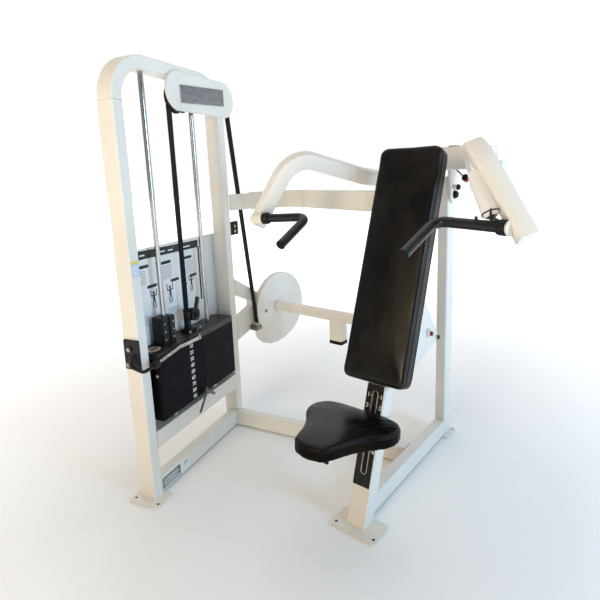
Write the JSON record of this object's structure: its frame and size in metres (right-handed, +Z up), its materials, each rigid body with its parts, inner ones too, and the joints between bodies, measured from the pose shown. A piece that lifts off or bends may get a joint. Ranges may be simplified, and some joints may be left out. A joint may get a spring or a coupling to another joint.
{
  "type": "overhead press machine",
  "caption": "Seated overhead press machine with a weight tower, belt, cam, pivoting press arms, reclined back pad and a height-adjustable seat.",
  "frame": {"origin": "bottom centre of the bounding box, on the floor", "axes": "+Z up, the sitter faces -Y, the weight tower stands on the -X side"},
  "size_m": [1.6116, 1.3184, 1.8],
  "materials": {
    "frame_paint": "light beige powder coat",
    "press_paint": "cream powder coat",
    "vinyl": "black upholstery vinyl",
    "board": "black backing board",
    "black_paint": "black powder coat",
    "stack_paint": "blue-black semi-gloss paint",
    "chrome": "polished",
    "steel": "plain steel",
    "rubber": "matte black rubber",
    "grip": "black foam rubber grip on a bent bar",
    "webbing": "woven black belt",
    "panel": "white printed panel",
    "pulley_plastic": "moulded black",
    "cord": "coiled black cord"
  },
  "bodies": {
    "frame": {"tower_near_upright": "frame_paint", "tower_far_upright": "frame_paint", "tower_top_arch": "frame_paint", "tower_base_rail": "frame_paint", "tower_mid_rail": "frame_paint", "guide_rod_near": "chrome", "guide_rod_far": "chrome", "placard_panel": "panel", "pulley_cover": "frame_paint", "pulley_back_plate": "frame_paint", "belt_stop": "rubber", "belt_over_pulleys": "webbing", "lever_bracket": "black_paint", "seat_rail": "frame_paint", "cross_rail": "frame_paint", "rear_upright": "frame_paint", "seat_mast": "frame_paint", "slot_plate": "black_paint", "upper_crossbeam": "frame_paint", "shaft_bearing_plate": "frame_paint", "cam_bracket": "frame_paint", "belt_rear_run": "webbing", "pivot_pin": "black_paint", "back_pad": "vinyl", "back_board": "board"},
    "press": {"yoke": "press_paint"},
    "arm_l": {"arm_left": "press_paint", "handle_left": "grip"},
    "arm_r": {"arm_right": "press_paint", "handle_right": "grip", "strut": "press_paint"},
    "link": {"pull_rod": "steel"},
    "cam": {"cam_shaft": "press_paint", "cam_disc": "press_paint", "shaft_stub": "press_paint", "crank_arm": "press_paint"},
    "stack": {"weight_plate_9": "stack_paint", "weight_plate_8": "stack_paint", "weight_plate_7": "stack_paint", "weight_plate_6": "stack_paint", "weight_plate_5": "stack_paint", "weight_plate_4": "stack_paint", "weight_plate_3": "stack_paint", "weight_plate_2": "stack_paint", "weight_plate_1": "stack_paint", "top_plate": "stack_paint", "belt_clamp": "black_paint", "belt_front_run": "webbing", "lanyard": "cord", "selector_pin": "steel"},
    "add_on": {"add_on_weight": "black_paint"},
    "pulley_f": {"front_pulley": "pulley_plastic"},
    "pulley_r": {"rear_pulley": "pulley_plastic"},
    "lever": {"lever_arm": "black_paint", "lever_slide_rod": "chrome"},
    "seat": {"seat_pad": "vinyl", "seat_sleeve": "frame_paint", "seat_support": "frame_paint"},
    "seat_pin": {"seat_pull_pin": "black_paint"}
  },
  "joints": [
    {"name": "press", "type": "hinge", "parent": "frame", "child": "press", "pos_m": [0.26493, 0.60626, 1.207], "axis": [-1, 0, 0], "range_deg": [0, 45]},
    {"name": "swing_left", "type": "hinge", "parent": "press", "child": "arm_l", "pos_m": [0.05293, 0.49816, 1.28], "axis": [0, 0, 1], "range_deg": [0, 9.5]},
    {"name": "swing_right", "type": "hinge", "parent": "press", "child": "arm_r", "pos_m": [0.42613, 0.49816, 1.28], "axis": [0, 0, -1], "range_deg": [0, 9.5]},
    {"name": "rod_hinge", "type": "hinge", "parent": "press", "child": "link", "pos_m": [0.12693, 0.51221, 1.16804], "axis": [-1, 0, 0], "range_deg": [-46, 0]},
    {"name": "cam_turn", "type": "hinge", "parent": "frame", "child": "cam", "pos_m": [-0.23507, 0.41816, 0.585], "axis": [1, 0, 0], "range_deg": [0, 46]},
    {"name": "stack_lift", "type": "slide", "parent": "frame", "child": "stack", "axis": [0, 0, 1], "range_m": [0, 0.142], "deforming": ["belt_front_run"]},
    {"name": "add_on_lift", "type": "slide", "parent": "stack", "child": "add_on", "axis": [0, 0, 1], "range_m": [0, 0.2]},
    {"name": "front_pulley_turn", "type": "hinge", "parent": "frame", "child": "pulley_f", "pos_m": [-0.66007, -0.19559, 1.678], "axis": [-0.9674, -0.2533, 0], "range_deg": [0, 128]},
    {"name": "rear_pulley_turn", "type": "hinge", "parent": "frame", "child": "pulley_r", "pos_m": [-0.74618, 0.13333, 1.6995], "axis": [-0.9674, -0.2533, 0], "range_deg": [0, 193]},
    {"name": "lever_swing", "type": "hinge", "parent": "frame", "child": "lever", "pos_m": [-0.53662, -0.62016, 0.63], "axis": [0, 0, -1], "range_deg": [0, 80]},
    {"name": "seat_height", "type": "slide", "parent": "frame", "child": "seat", "axis": [0, 0.3249, 0.9458], "range_m": [-0.15, 0.02]},
    {"name": "seat_pin_pull", "type": "slide", "parent": "seat", "child": "seat_pin", "axis": [-1, 0, 0], "range_m": [0, 0.012], "stiffness_N_per_m": 600}
  ],
  "couplings": [
    {"joint": "swing_left", "follows": "press", "ratio": 0.2},
    {"joint": "swing_right", "follows": "press", "ratio": 0.2},
    {"joint": "rod_hinge", "follows": "press", "ratio": -1},
    {"joint": "cam_turn", "follows": "press", "ratio": 1},
    {"joint": "stack_lift", "follows": "press", "m_per_rad": 0.1765},
    {"joint": "front_pulley_turn", "follows": "press", "ratio": 2.7883},
    {"joint": "rear_pulley_turn", "follows": "press", "ratio": 4.2225}
  ]
}
